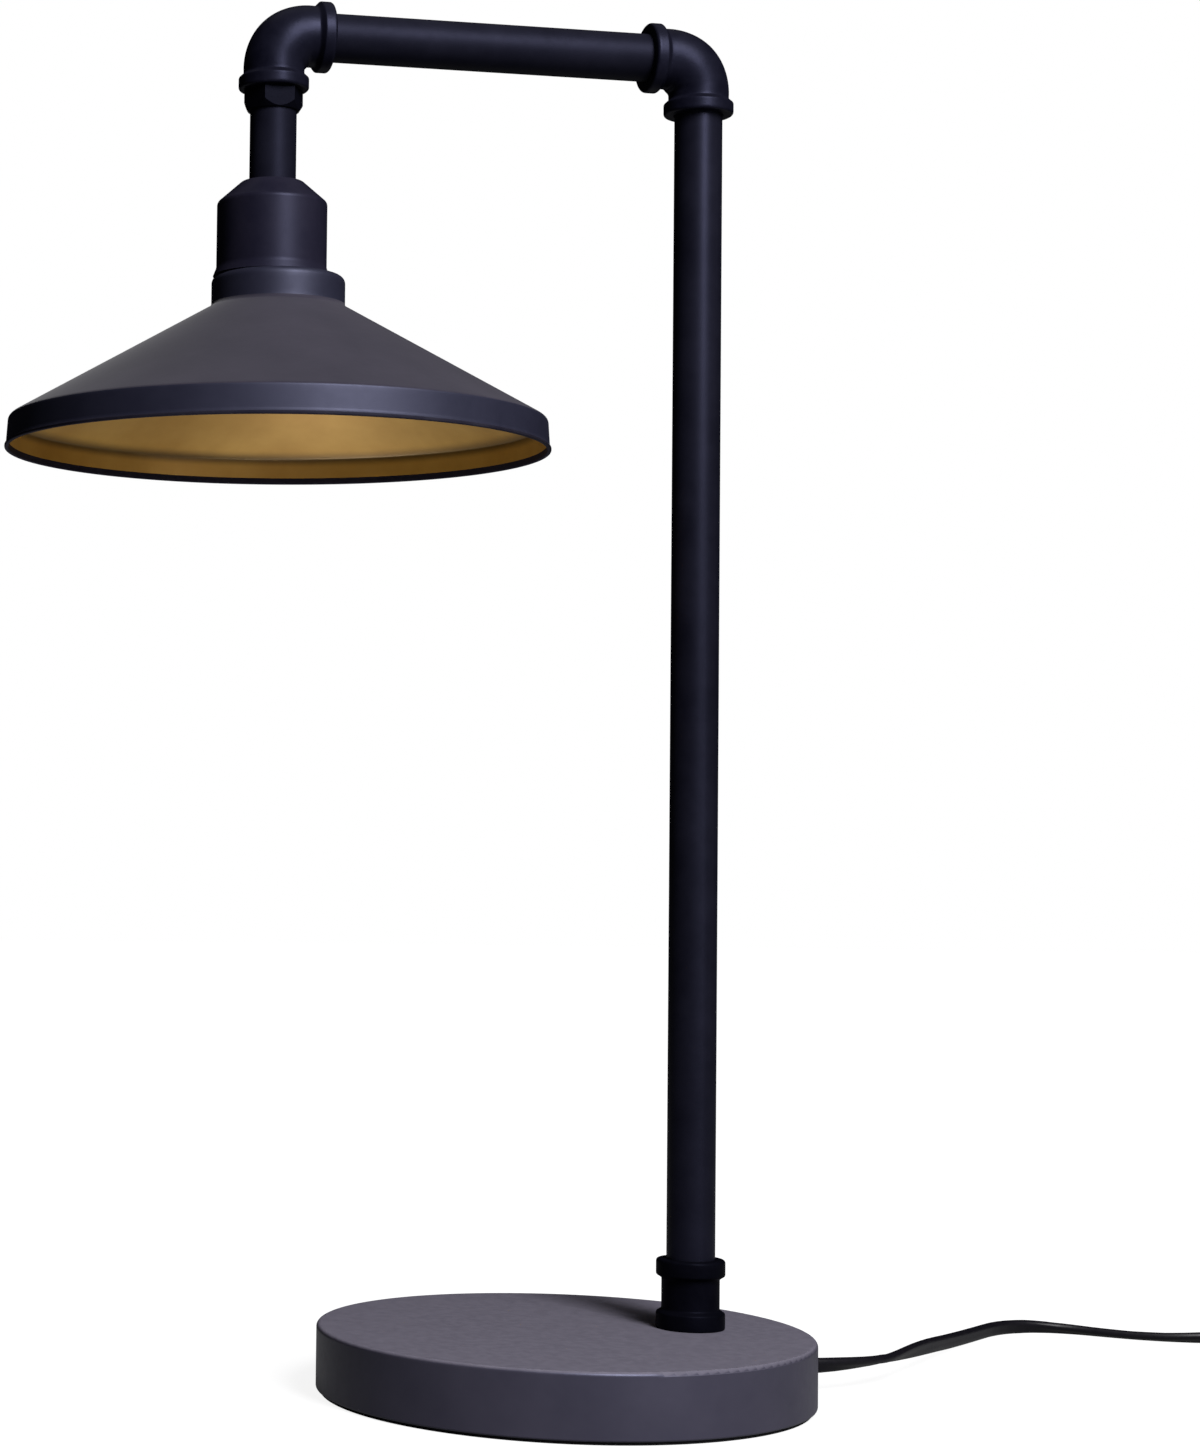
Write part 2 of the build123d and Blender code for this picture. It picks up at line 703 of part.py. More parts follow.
def make_plug():
    waist, half = plug_waist / 2, plug_width / 2
    outline = Polyline(
        (0, -waist), (plug_shoulder, -half), (plug_length, -half),
        (plug_length, half), (plug_shoulder, half), (0, waist), close=True,
    )
    body = extrude(make_face(outline), plug_height)
    body = fillet(body.edges().filter_by(Axis.Z), plug_side_round)
    body = fillet(body.faces().sort_by(Axis.Z)[-1].edges(), plug_round)
    body = fillet(body.faces().sort_by(Axis.Z)[0].edges(), plug_round / 2)
    blades = []
    middle = plug_height / 2
    for side in (-1, 1):
        across = side * blade_spacing / 2
        low_corner = (plug_length - blade_inside, across - blade_thickness / 2, middle - blade_width / 2)
        high_corner = (plug_length + blade_length, across + blade_thickness / 2, middle + blade_width / 2)
        blade = box(low_corner, high_corner)
        tips = blade.edges().filter_by(Axis.Y).sort_by(Axis.X)[-2:]
        blade = fillet(tips, blade_tip_round)
        body -= box(low_corner, high_corner)
        blades.append(blade)
    place = Pos(plug_rear[0], plug_rear[1], 0) * Rot(0, 0, plug_heading)
    save("plug_body", place * body)
    save("plug_blades", *[place * blade for blade in blades])


# ---- in-line switch ----
def make_switch():
    middle_y = (switch_far + switch_near) / 2
    slab = RectangleRounded(switch_width, switch_length, switch_corner)
    cavity = Rectangle(switch_width - 2 * switch_wall, switch_length - 2 * switch_end_wall)
    base = extrude(slab, switch_base_height)
    base = chamfer(base.faces().sort_by(Axis.Z)[0].edges(), switch_foot_bevel)
    base -= extrude(Plane.XY.offset(switch_wall) * cavity, switch_base_height)
    cover = extrude(Plane.XY.offset(switch_base_height) * slab, switch_cover_height)
    cover = fillet(cover.faces().sort_by(Axis.Z)[-1].edges(), switch_top_round)
    cover -= extrude(Plane.XY.offset(switch_base_height) * cavity, switch_inside_top - switch_base_height)
    slot_length = 2 * (rocker_half_length + rocker_slot_gap)
    slot = Rectangle(rocker_width + 2 * rocker_side_gap, slot_length)
    cover -= extrude(Plane.XY.offset(switch_base_height) * slot, switch_cover_height + cut_margin)
    cord_way = Rot(90, 0, 0) * rod(cord_radius + thread_gap, -switch_length / 2, switch_length / 2)
    cord_way = at(cord_way, 0, 0, switch_base_height)
    base -= cord_way
    cover -= cord_way
    seat_end = switch_width / 2 - rocker_pin_skin
    pin_seat = along_x(rod(rocker_pin_radius + thread_gap, -seat_end, seat_end))
    cover -= at(pin_seat, 0, 0, rocker_pivot)
    pin_end = seat_end - seat_gap
    pin = at(along_x(rod(rocker_pin_radius, -pin_end, pin_end)), 0, 0, rocker_pivot)

    screws = []
    sink = switch_screw_sink
    head_top = sink + switch_screw_head
    screw_end = switch_top - switch_screw_cap
    for side in (-1, 1):
        x = side * switch_screw_side
        y = side * (switch_length / 2 - switch_screw_inset)
        screw = rod(switch_screw_radius, sink, screw_end)
        screw += rod(switch_screw_head_radius, sink, head_top)
        hole = rod(switch_screw_radius + thread_gap, 0, screw_end + seat_gap)
        hole += rod(switch_screw_head_radius + seat_gap, 0, head_top)
        base -= at(hole, x, y)
        cover -= at(hole, x, y)
        screws.append(at(screw, x, y))

    outline = Polyline(
        (-rocker_half_length, rocker_rise), (0, rocker_dip), (rocker_half_length, rocker_rise),
        (rocker_half_length, -rocker_skirt), (rocker_depth, -rocker_depth),
        (-rocker_depth, -rocker_depth), (-rocker_half_length, -rocker_skirt), close=True,
    )
    rocker = extrude(Plane.YZ * make_face(outline), rocker_width / 2, both=True)
    rocker -= along_x(rod(rocker_pin_radius + running_gap, -rocker_width, rocker_width))
    rocker = at(Rot(rocker_tilt, 0, 0) * rocker, 0, 0, rocker_pivot)

    strips = []
    half_strip = strip_width / 2
    for side in (-1, 1):
        far_end = side * (switch_length / 2 - switch_end_wall)
        near_end = far_end - side * strip_length
        low, high = sorted((far_end, near_end))
        strip = box((-half_strip, low, switch_wall), (half_strip, high, switch_wall + strip_thickness))
        low, high = sorted((near_end, near_end + side * strip_thickness))
        strip += box((-half_strip, low, switch_wall), (half_strip, high, switch_wall + strip_tab))
        strips.append(strip)

    nodes = {
        "switch_base": [base], "switch_cover": [cover], "switch_rocker": [rocker],
        "rocker_pin": [pin], "switch_screws": screws, "switch_contacts": strips,
    }
    for name, solids in nodes.items():
        save(name, *[at(solid, switch_x, middle_y) for solid in solids])


make_base()
make_foot()
make_pipes()
make_elbows()
make_swivel()
make_cup()
make_holder()
make_shade()
make_bulb()
make_leads()
make_cord()
make_plug()
make_switch()
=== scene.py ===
import math

import bpy
import numpy as np
from mathutils import Matrix, Vector


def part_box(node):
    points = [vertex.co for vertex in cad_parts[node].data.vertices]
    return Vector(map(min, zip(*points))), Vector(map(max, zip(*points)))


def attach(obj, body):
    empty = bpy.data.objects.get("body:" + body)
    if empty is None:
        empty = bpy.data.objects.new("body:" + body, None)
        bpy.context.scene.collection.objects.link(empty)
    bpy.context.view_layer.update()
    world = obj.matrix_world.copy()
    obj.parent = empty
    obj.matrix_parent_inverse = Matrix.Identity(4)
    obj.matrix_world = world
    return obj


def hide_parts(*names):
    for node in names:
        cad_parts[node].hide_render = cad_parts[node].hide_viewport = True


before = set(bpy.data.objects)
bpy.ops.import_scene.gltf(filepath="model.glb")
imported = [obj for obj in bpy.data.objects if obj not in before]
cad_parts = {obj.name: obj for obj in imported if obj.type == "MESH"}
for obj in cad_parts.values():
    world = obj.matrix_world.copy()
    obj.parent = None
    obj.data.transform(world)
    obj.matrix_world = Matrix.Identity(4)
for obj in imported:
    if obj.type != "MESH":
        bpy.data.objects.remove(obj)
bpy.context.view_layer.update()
mm = 0.001
print("frame loaded:", len(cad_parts), "nodes")


# places taken from the frame

def nodeCentre(node):
    low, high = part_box(node)
    return np.array((low + high) / 2)


headX = nodeCentre("drop_tube")[0]  # axis of the drop tube and cup
shadeX = nodeCentre("shade")[0]     # the shade is clamped a little off that axis
postX = nodeCentre("post_pipe")[0]
armZ = nodeCentre("arm_pipe")[2]


# camera

cameraSet = {
    "place": (-0.4506, -1.2783, 0.2396),
    "yaw": -0.17017,       # radians, turned to the right
    "pitch": 0.046134,     # tipped up
    "roll": -0.016535,
    "lens": 76.109,        # mm, for the sensor's long side
    "sensor": 36.0,        # mm
    "near": 0.01, "far": 50.0,     # metres
    "lean": (0.18036, -0.00676),   # how far the axis leans to the right and up, as a share of the distance
}


def makeCamera(c):
    lensData = bpy.data.cameras.new("tableView")
    lensData.lens, lensData.sensor_width = c["lens"], c["sensor"]
    lensData.clip_start, lensData.clip_end = c["near"], c["far"]
    cam = bpy.data.objects.new("tableView", lensData)
    bpy.context.scene.collection.objects.link(cam)
    turn = Matrix.Rotation(c["yaw"], 3, "Z") @ Matrix.Rotation(c["pitch"], 3, "X")
    turn = turn @ Matrix.Rotation(c["roll"], 3, "Y")
    right, ahead, up = turn.col[0], turn.col[1], turn.col[2]
    world = Matrix((right, up, -ahead)).transposed().to_4x4()
    world.translation = c["place"]
    cam.matrix_world = world
    # like a view camera's sliding front: the axis leans and the picture plane stays square to its old
    # direction. The parent carries the skew, so the camera itself has a plain place and turn
    lean = Matrix.Identity(4)
    lean.col[2] = (-c["lean"][0], -c["lean"][1], 1, 0)
    front = bpy.data.objects.new("slidingFront", None)
    bpy.context.scene.collection.objects.link(front)
    cam.parent = front
    cam.matrix_parent_inverse = world @ lean.normalized() @ world.inverted()
    bpy.context.scene.camera = cam


makeCamera(cameraSet)
print("camera placed")


# node helpers

def newMaterial(name):
    mat = bpy.data.materials.new(name)
    mat.use_nodes = True
    mat.node_tree.nodes.clear()
    return mat, mat.node_tree.nodes, mat.node_tree.links


def addNode(nodes, kind, inputs=None, **settings):
    node = nodes.new(kind)
    for key, value in settings.items():
        setattr(node, key, value)
    for key, value in (inputs or {}).items():
        node.inputs[key].default_value = value
    return node


def rampNode(nodes, links, stops, factor):
    ramp = nodes.new("ShaderNodeValToRGB")
    for element, (place, colour) in zip(ramp.color_ramp.elements, stops):
        element.position, element.color = place, (*colour, 1)
    links.new(factor, ramp.inputs[0])
    return ramp


def newGroup(name, inputs, outputs):
    group = bpy.data.node_groups.new(name, "ShaderNodeTree")
    for title, kind, start in inputs:
        socket = group.interface.new_socket(title, in_out="INPUT", socket_type=kind)
        socket.default_value = start
    for title, kind in outputs:
        group.interface.new_socket(title, in_out="OUTPUT", socket_type=kind)
    return group, group.nodes.new("NodeGroupInput"), group.nodes.new("NodeGroupOutput")


# shared surface effects

def makePaintGroup():
    # powder coat: two colours mixed by slow mottling, fine pimples in height, and on faces that look up a
    # lighter colour that is partly dust and partly painted top light
    kinds = [
        ("Dark", "NodeSocketColor", (0.02, 0.02, 0.03, 1)),
        ("Light", "NodeSocketColor", (0.05, 0.05, 0.06, 1)),
        ("TopLightDust", "NodeSocketColor", (0.1, 0.095, 0.11, 1)), ("Dust Amount", "NodeSocketFloat", 0.2),
        ("Mottle Scale", "NodeSocketFloat", 30.0), ("Pimple Scale", "NodeSocketFloat", 900.0),
        ("Rough Low", "NodeSocketFloat", 0.4), ("Rough High", "NodeSocketFloat", 0.55),
    ]
    group, gin, gout = newGroup("paintCoat", kinds, [
        ("Color", "NodeSocketColor"), ("Roughness", "NodeSocketFloat"), ("Height", "NodeSocketFloat"),
    ])
    n, l = group.nodes, group.links
    coord = n.new("ShaderNodeTexCoord")
    slow = addNode(n, "ShaderNodeTexNoise", {"Detail": 4.0, "Roughness": 0.6})
    fine = addNode(n, "ShaderNodeTexNoise", {"Detail": 2.0, "Roughness": 0.5})
    speck = addNode(n, "ShaderNodeTexNoise", {"Detail": 3.0, "Scale": 260.0})
    for tex in (slow, fine, speck):
        l.new(coord.outputs["Object"], tex.inputs["Vector"])
    l.new(gin.outputs["Mottle Scale"], slow.inputs["Scale"])
    l.new(gin.outputs["Pimple Scale"], fine.inputs["Scale"])
    spread = addNode(n, "ShaderNodeMapRange", {"From Min": 0.32, "From Max": 0.68})
    l.new(slow.outputs["Fac"], spread.inputs["Value"])
    tone = addNode(n, "ShaderNodeMix", data_type="RGBA")
    l.new(spread.outputs["Result"], tone.inputs["Factor"])
    l.new(gin.outputs["Dark"], tone.inputs["A"])
    l.new(gin.outputs["Light"], tone.inputs["B"])
    geo = n.new("ShaderNodeNewGeometry")
    split = n.new("ShaderNodeSeparateXYZ")
    l.new(geo.outputs["Normal"], split.inputs[0])
    # faces that look up take the lighter colour: dust, and painted top light
    up = addNode(n, "ShaderNodeMapRange", {"From Min": 0.35, "From Max": 0.95})
    l.new(split.outputs["Z"], up.inputs["Value"])
    speckle = addNode(n, "ShaderNodeMapRange", {"From Min": 0.35, "From Max": 0.65, "To Min": 0.84})
    l.new(speck.outputs["Fac"], speckle.inputs["Value"])
    amount = addNode(n, "ShaderNodeMath", operation="MULTIPLY")
    l.new(up.outputs["Result"], amount.inputs[0])
    l.new(speckle.outputs["Result"], amount.inputs[1])
    share = addNode(n, "ShaderNodeMath", operation="MULTIPLY")
    l.new(amount.outputs[0], share.inputs[0])
    l.new(gin.outputs["Dust Amount"], share.inputs[1])
    dusty = addNode(n, "ShaderNodeMix", data_type="RGBA")
    l.new(share.outputs[0], dusty.inputs["Factor"])
    l.new(tone.outputs["Result"], dusty.inputs["A"])
    l.new(gin.outputs["TopLightDust"], dusty.inputs["B"])
    rough = n.new("ShaderNodeMapRange")
    l.new(speck.outputs["Fac"], rough.inputs["Value"])
    l.new(gin.outputs["Rough Low"], rough.inputs["To Min"])
    l.new(gin.outputs["Rough High"], rough.inputs["To Max"])
    l.new(dusty.outputs["Result"], gout.inputs["Color"])
    l.new(rough.outputs["Result"], gout.inputs["Roughness"])
    l.new(fine.outputs["Fac"], gout.inputs["Height"])
    return group


paintGroup = makePaintGroup()
pimpleDepth = 0.00008  # metres


def paintCreaseShade(n, l, colour, height, reach, least):
    # painted shade: colour times a factor that falls smoothly from 1 to least at one height, where two
    # walls meet
    coord = n.new("ShaderNodeTexCoord")
    split = n.new("ShaderNodeSeparateXYZ")
    away = addNode(n, "ShaderNodeMath", {1: height}, operation="SUBTRACT")
    size = addNode(n, "ShaderNodeMath", operation="ABSOLUTE")
    factor = addNode(
        n, "ShaderNodeMapRange", {"From Max": reach, "To Min": least}, interpolation_type="SMOOTHSTEP",
    )
    scaled = addNode(n, "ShaderNodeVectorMath", operation="SCALE")
    l.new(coord.outputs["Object"], split.inputs[0])
    l.new(split.outputs["Z"], away.inputs[0])
    l.new(away.outputs[0], size.inputs[0])
    l.new(size.outputs[0], factor.inputs["Value"])
    l.new(colour, scaled.inputs[0])
    l.new(factor.outputs["Result"], scaled.inputs["Scale"])
    return scaled.outputs[0]


def paintMaterial(name, p):
    mat, n, l = newMaterial(name)
    out = n.new("ShaderNodeOutputMaterial")
    shader = addNode(n, "ShaderNodeBsdfPrincipled", {
        "Specular IOR Level": p["specular"], "Metallic": p.get("metal", 0.0),
        "Specular Tint": (*p.get("tint", (0.78, 0.80, 1.0)), 1),
        "Sheen Weight": p.get("sheen", 0.0), "Sheen Roughness": 0.45,
    })
    coat = n.new("ShaderNodeGroup")
    coat.node_tree = paintGroup
    for key in ("Dark", "Light", "TopLightDust"):
        coat.inputs[key].default_value = (*p[key.lower()], 1)
    coat.inputs["Dust Amount"].default_value = p["dustAmount"]
    coat.inputs["Mottle Scale"].default_value = p["mottle"]
    coat.inputs["Pimple Scale"].default_value = p["pimples"]
    coat.inputs["Rough Low"].default_value = p["rough"][0]
    coat.inputs["Rough High"].default_value = p["rough"][1]
    bump = addNode(n, "ShaderNodeBump", {"Strength": p["bump"], "Distance": pimpleDepth})
    colour = coat.outputs["Color"]
    if "creaseShade" in p:
        colour = paintCreaseShade(n, l, colour, **p["creaseShade"])
    l.new(colour, shader.inputs["Base Color"])
    l.new(coat.outputs["Roughness"], shader.inputs["Roughness"])
    l.new(coat.outputs["Height"], bump.inputs["Height"])
    l.new(bump.outputs["Normal"], shader.inputs["Normal"])
    l.new(shader.outputs[0], out.inputs[0])
    return mat


def plainMaterial(name, p):
    # one tone broken up by noise, with a bump of its own scale: metal, rubber, plastic, felt
    mat, n, l = newMaterial(name)
    out = n.new("ShaderNodeOutputMaterial")
    settings = {"Metallic": p.get("metal", 0.0), "Specular IOR Level": p.get("specular", 0.5)}
    shader = addNode(n, "ShaderNodeBsdfPrincipled", settings)
    coord = n.new("ShaderNodeTexCoord")
    noise = addNode(n, "ShaderNodeTexNoise", {"Scale": p["scale"], "Detail": 5.0, "Roughness": 0.6})
    l.new(coord.outputs["Object"], noise.inputs["Vector"])
    tone = rampNode(n, l, [(0.3, p["dark"]), (0.7, p["light"])], noise.outputs["Fac"])
    rough = addNode(n, "ShaderNodeMapRange", {"To Min": p["rough"][0], "To Max": p["rough"][1]})
    depth = p.get("depth", 0.0001)
    bump = addNode(n, "ShaderNodeBump", {"Strength": p.get("bump", 0.2), "Distance": depth})
    l.new(noise.outputs["Fac"], rough.inputs["Value"])
    l.new(noise.outputs["Fac"], bump.inputs["Height"])
    l.new(tone.outputs[0], shader.inputs["Base Color"])
    l.new(rough.outputs["Result"], shader.inputs["Roughness"])
    l.new(bump.outputs["Normal"], shader.inputs["Normal"])
    l.new(shader.outputs[0], out.inputs[0])
    return mat


finishes = {
    # the base's top comes out far lighter than its side: dust, and painted top light
    "baseCoat": {
        "dark": (0.030, 0.028, 0.043), "light": (0.041, 0.038, 0.056), "toplightdust": (0.160, 0.149, 0.190),
        "dustAmount": 0.85, "mottle": 22.0, "pimples": 1100.0, "rough": (0.36, 0.46), "bump": 0.2,
        "specular": 0.42, "tint": (0.66, 0.68, 1.0),
    },
    "pipeCoat": {
        "dark": (0.003, 0.003, 0.006), "light": (0.006, 0.006, 0.011), "toplightdust": (0.008, 0.008, 0.013),
        "dustAmount": 0.1, "mottle": 40.0, "pimples": 1500.0, "rough": (0.36, 0.46), "bump": 0.12,
        "specular": 0.14, "tint": (0.56, 0.58, 1.0),
    },
    "armCoat": {
        "dark": (0.003, 0.003, 0.006), "light": (0.006, 0.006, 0.011), "toplightdust": (0.006, 0.006, 0.011),
        "dustAmount": 0.1, "mottle": 40.0, "pimples": 1500.0, "rough": (0.46, 0.56), "bump": 0.12,
        "specular": 0.08, "tint": (0.56, 0.58, 1.0),
    },
    "fittingCoat": {
        "dark": (0.002, 0.002, 0.005), "light": (0.005, 0.005, 0.010), "toplightdust": (0.010, 0.009, 0.015),
        "dustAmount": 0.1, "mottle": 90.0, "pimples": 700.0, "rough": (0.36, 0.48), "bump": 0.4,
        "specular": 0.125, "tint": (0.56, 0.58, 1.0),
    },
    "cupCoat": {
        "dark": (0.006, 0.0055, 0.012), "light": (0.010, 0.009, 0.017), "toplightdust": (0.014, 0.013, 0.022),
        "dustAmount": 0.0, "mottle": 50.0, "pimples": 1500.0, "rough": (0.40, 0.50), "bump": 0.14,
        "specular": 0.165, "tint": (0.62, 0.64, 1.0),
    },
    # painted top light: the cone faces up, so its colour is lighter than that of the band and neck of the
    # same spun sheet
    "coneTopLitCoat": {
        "dark": (0.018, 0.016, 0.025), "light": (0.026, 0.023, 0.034), "toplightdust": (0.030, 0.027, 0.039),
        "dustAmount": 0.3, "mottle": 26.0, "pimples": 1400.0, "rough": (0.5, 0.6), "bump": 0.2,
        "specular": 0.06, "sheen": 0.14,
    },
    "rimCoat": {
        "dark": (0.006, 0.006, 0.013), "light": (0.010, 0.010, 0.019), "toplightdust": (0.012, 0.012, 0.02),
        "dustAmount": 0.2, "mottle": 30.0, "pimples": 1400.0, "rough": (0.48, 0.58), "bump": 0.14,
        "specular": 0.45, "tint": (0.66, 0.68, 1.0),
    },
    "goldCoat": {
        "dark": (0.34, 0.180, 0.028), "light": (0.44, 0.255, 0.052), "toplightdust": (0.5, 0.32, 0.09),
        "metal": 0.45, "dustAmount": 0.0, "mottle": 24.0, "pimples": 1200.0, "rough": (0.34, 0.44),
        "bump": 0.16, "specular": 0.6, "tint": (1.0, 1.0, 1.0),
        # painted shade along the crease where the gold cone meets the band
        "creaseShade": {"height": 0.4236, "reach": 0.0038, "least": 0.30},  # metres, metres and a share
    },
    # painted shade: a darker, duller copy of fittingCoat, for the coupling low on the post and the collar
    # under the head elbow's band
    "shadedFittingCoat": {
        "dark": (0.001, 0.001, 0.002), "light": (0.002, 0.002, 0.004), "toplightdust": (0.003, 0.003, 0.005),
        "dustAmount": 0.1, "mottle": 90.0, "pimples": 700.0, "rough": (0.40, 0.52), "bump": 0.4,
        "specular": 0.03, "tint": (0.56, 0.58, 1.0),
    },
    "lipCoat": {
        "dark": (0.008, 0.007, 0.013), "light": (0.014, 0.013, 0.020), "toplightdust": (0.03, 0.03, 0.04),
        "dustAmount": 0.1, "mottle": 60.0, "pimples": 1400.0, "rough": (0.5, 0.6), "bump": 0.1,
        "specular": 0.05,
    },
}
plains = {
    "zincPlate": {
        "dark": (0.42, 0.42, 0.40), "light": (0.62, 0.61, 0.57), "metal": 1.0, "scale": 300.0,
        "rough": (0.28, 0.45),
    },
    "brassMetal": {
        "dark": (0.55, 0.36, 0.12), "light": (0.75, 0.54, 0.22), "metal": 1.0, "scale": 250.0,
        "rough": (0.2, 0.4),
    },
    "capMetal": {
        "dark": (0.55, 0.55, 0.54), "light": (0.75, 0.75, 0.74), "metal": 1.0, "scale": 200.0,
        "rough": (0.2, 0.35),
    },
    "cordSkin": {
        "dark": (0.003, 0.003, 0.005), "light": (0.006, 0.005, 0.008), "scale": 600.0,
        "rough": (0.34, 0.46), "specular": 0.22,
    },
    "reliefRubber": {
        "dark": (0.006, 0.006, 0.008), "light": (0.012, 0.011, 0.014), "scale": 700.0,
        "rough": (0.5, 0.65),
    },
    "moulding": {
        "dark": (0.010, 0.010, 0.012), "light": (0.017, 0.016, 0.018), "scale": 900.0,
        "rough": (0.4, 0.52), "bump": 0.35,
    },
    "rockerGloss": {
        "dark": (0.012, 0.012, 0.013), "light": (0.016, 0.016, 0.017), "scale": 300.0,
        "rough": (0.16, 0.24), "bump": 0.05,
    },
    "phenolic": {
        "dark": (0.020, 0.014, 0.010), "light": (0.035, 0.026, 0.018), "scale": 350.0,
        "rough": (0.32, 0.48),
    },
    "feltPad": {
        "dark": (0.008, 0.008, 0.010), "light": (0.028, 0.027, 0.03), "scale": 1400.0,
        "rough": (0.85, 1.0), "bump": 0.9, "depth": 0.0003, "specular": 0.1,
    },
    "innerLead": {
        "dark": (0.16, 0.16, 0.16), "light": (0.24, 0.24, 0.24), "scale": 300.0, "rough": (0.45, 0.6),
    },
    "filamentWax": {
        "dark": (0.75, 0.5, 0.16), "light": (0.9, 0.66, 0.25), "scale": 500.0, "rough": (0.45, 0.6),
    },
}
mats = {name: paintMaterial(name, p) for name, p in finishes.items()}
mats.update({name: plainMaterial(name, p) for name, p in plains.items()})


def glassMaterial(name):
    mat, n, l = newMaterial(name)
    out = n.new("ShaderNodeOutputMaterial")
    shader = addNode(n, "ShaderNodeBsdfPrincipled", {
        "Base Color": (0.97, 0.97, 0.95, 1), "Transmission Weight": 1.0, "IOR": 1.45, "Metallic": 0.0,
    })
    coord = n.new("ShaderNodeTexCoord")
    smear = addNode(n, "ShaderNodeTexNoise", {"Scale": 60.0, "Detail": 3.0})
    rough = addNode(n, "ShaderNodeMapRange", {"To Min": 0.0, "To Max": 0.06})
    l.new(coord.outputs["Object"], smear.inputs["Vector"])
    l.new(smear.outputs["Fac"], rough.inputs["Value"])
    l.new(rough.outputs["Result"], shader.inputs["Roughness"])
    l.new(shader.outputs[0], out.inputs[0])
    return mat


mats["bulbGlass"] = glassMaterial("bulbGlass")

nodeFinish = {
    "baseCoat": ["base_casting"],
    "pipeCoat": ["post_pipe"],
    "armCoat": ["arm_pipe", "drop_tube"],
    "shadedFittingCoat": ["swivel_collar"],
    "cupCoat": ["socket_cup"],
    "zincPlate": [
        "cover_plate", "cover_screws", "base_nipple", "base_washer", "base_locknut", "swivel_stem",
        "stem_nut", "drop_top_bushing", "drop_bottom_bushing", "cup_nipple", "cup_locknut", "rocker_pin",
        "switch_screws",
    ],
    "brassMetal": ["socket_shell", "socket_contact", "terminal_screws", "plug_blades", "switch_contacts"],
    "capMetal": ["bulb_cap"],
    "reliefRubber": ["strain_relief"],
    "moulding": ["plug_body", "switch_base", "switch_cover", "swivel_washer"],
    "rockerGloss": ["switch_rocker"],
    "phenolic": ["socket_body", "shade_ring"],
    "feltPad": ["felt_pad"],
    "innerLead": ["post_lead", "arm_lead", "head_lead", "drop_lead"],
    "filamentWax": ["bulb_stem"],
    "bulbGlass": ["bulb_glass"],
}


def dressNodes():
    for finish, nodes in nodeFinish.items():
        for node in nodes:
            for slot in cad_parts[node].material_slots:
                slot.material = mats[finish]


dressNodes()
print("materials on the frame's nodes:", len(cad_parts))


# floor, light and background

roomSet = {
    "floorHalf": 6.0,
    "floorTone": (0.13, 0.13, 0.135),
    "floorGlow": (0.89, 1.0),   # near the object and far from it
    "glowReach": (0.13, 0.30),  # where near ends and far begins, in metres
    "worldDiffuse": 0.05,
    "mirrorShare": 0.14,        # share of the white that reflections see, above and below
}


def seenWhite(n, l, share):
    # 1 for the camera and through glass, share in reflections, 0 for all other rays
    rays = n.new("ShaderNodeLightPath")
    mirrored = addNode(n, "ShaderNodeMath", {1: share}, operation="MULTIPLY")
    first = addNode(n, "ShaderNodeMath", operation="MAXIMUM")
    second = addNode(n, "ShaderNodeMath", operation="MAXIMUM")
    l.new(rays.outputs["Is Glossy Ray"], mirrored.inputs[0])
    l.new(rays.outputs["Is Camera Ray"], first.inputs[0])
    l.new(mirrored.outputs[0], first.inputs[1])
    l.new(first.outputs[0], second.inputs[0])
    l.new(rays.outputs["Is Transmission Ray"], second.inputs[1])
    return second.outputs[0]


def makeFloor(r):
    h = r["floorHalf"]
    mesh = bpy.data.meshes.new("tableTop")
    mesh.from_pydata([(-h, -h, 0), (h, -h, 0), (h, h, 0), (-h, h, 0)], [], [(0, 1, 2, 3)])
    floor = bpy.data.objects.new("tableTop", mesh)
    bpy.context.scene.collection.objects.link(floor)
    mat, n, l = newMaterial("paleTop")
    out = n.new("ShaderNodeOutputMaterial")
    matt = addNode(n, "ShaderNodeBsdfDiffuse", {"Color": (*r["floorTone"], 1)})
    glow = addNode(n, "ShaderNodeEmission", {"Color": (1, 1, 1, 1)})
    both = n.new("ShaderNodeAddShader")
    # the lamps fall off with distance, so the glow makes up for it away from the object
    coord = n.new("ShaderNodeTexCoord")
    far = addNode(n, "ShaderNodeVectorMath", operation="LENGTH")
    level = addNode(n, "ShaderNodeMapRange", {
        "From Min": r["glowReach"][0], "From Max": r["glowReach"][1],
        "To Min": r["floorGlow"][0], "To Max": r["floorGlow"][1],
    })
    strength = addNode(n, "ShaderNodeMath", operation="MULTIPLY")
    l.new(coord.outputs["Object"], far.inputs[0])
    l.new(far.outputs["Value"], level.inputs["Value"])
    l.new(seenWhite(n, l, r["mirrorShare"]), strength.inputs[0])
    l.new(level.outputs["Result"], strength.inputs[1])
    l.new(strength.outputs[0], glow.inputs["Strength"])
    l.new(matt.outputs[0], both.inputs[0])
    l.new(glow.outputs[0], both.inputs[1])
    l.new(both.outputs[0], out.inputs[0])
    mesh.materials.append(mat)


def makeWorld(r):
    world = bpy.data.worlds.new("softRoom")
    bpy.context.scene.world = world
    world.use_nodes = True
    n, l = world.node_tree.nodes, world.node_tree.links
    n.clear()
    out = n.new("ShaderNodeOutputWorld")
    back = addNode(n, "ShaderNodeBackground", {"Color": (1, 1, 1, 1)})
    strength = addNode(n, "ShaderNodeMapRange", {"To Min": r["worldDiffuse"], "To Max": 1.0})
    l.new(seenWhite(n, l, r["mirrorShare"]), strength.inputs["Value"])
    l.new(strength.outputs["Result"], back.inputs["Strength"])
    l.new(back.outputs[0], out.inputs[0])


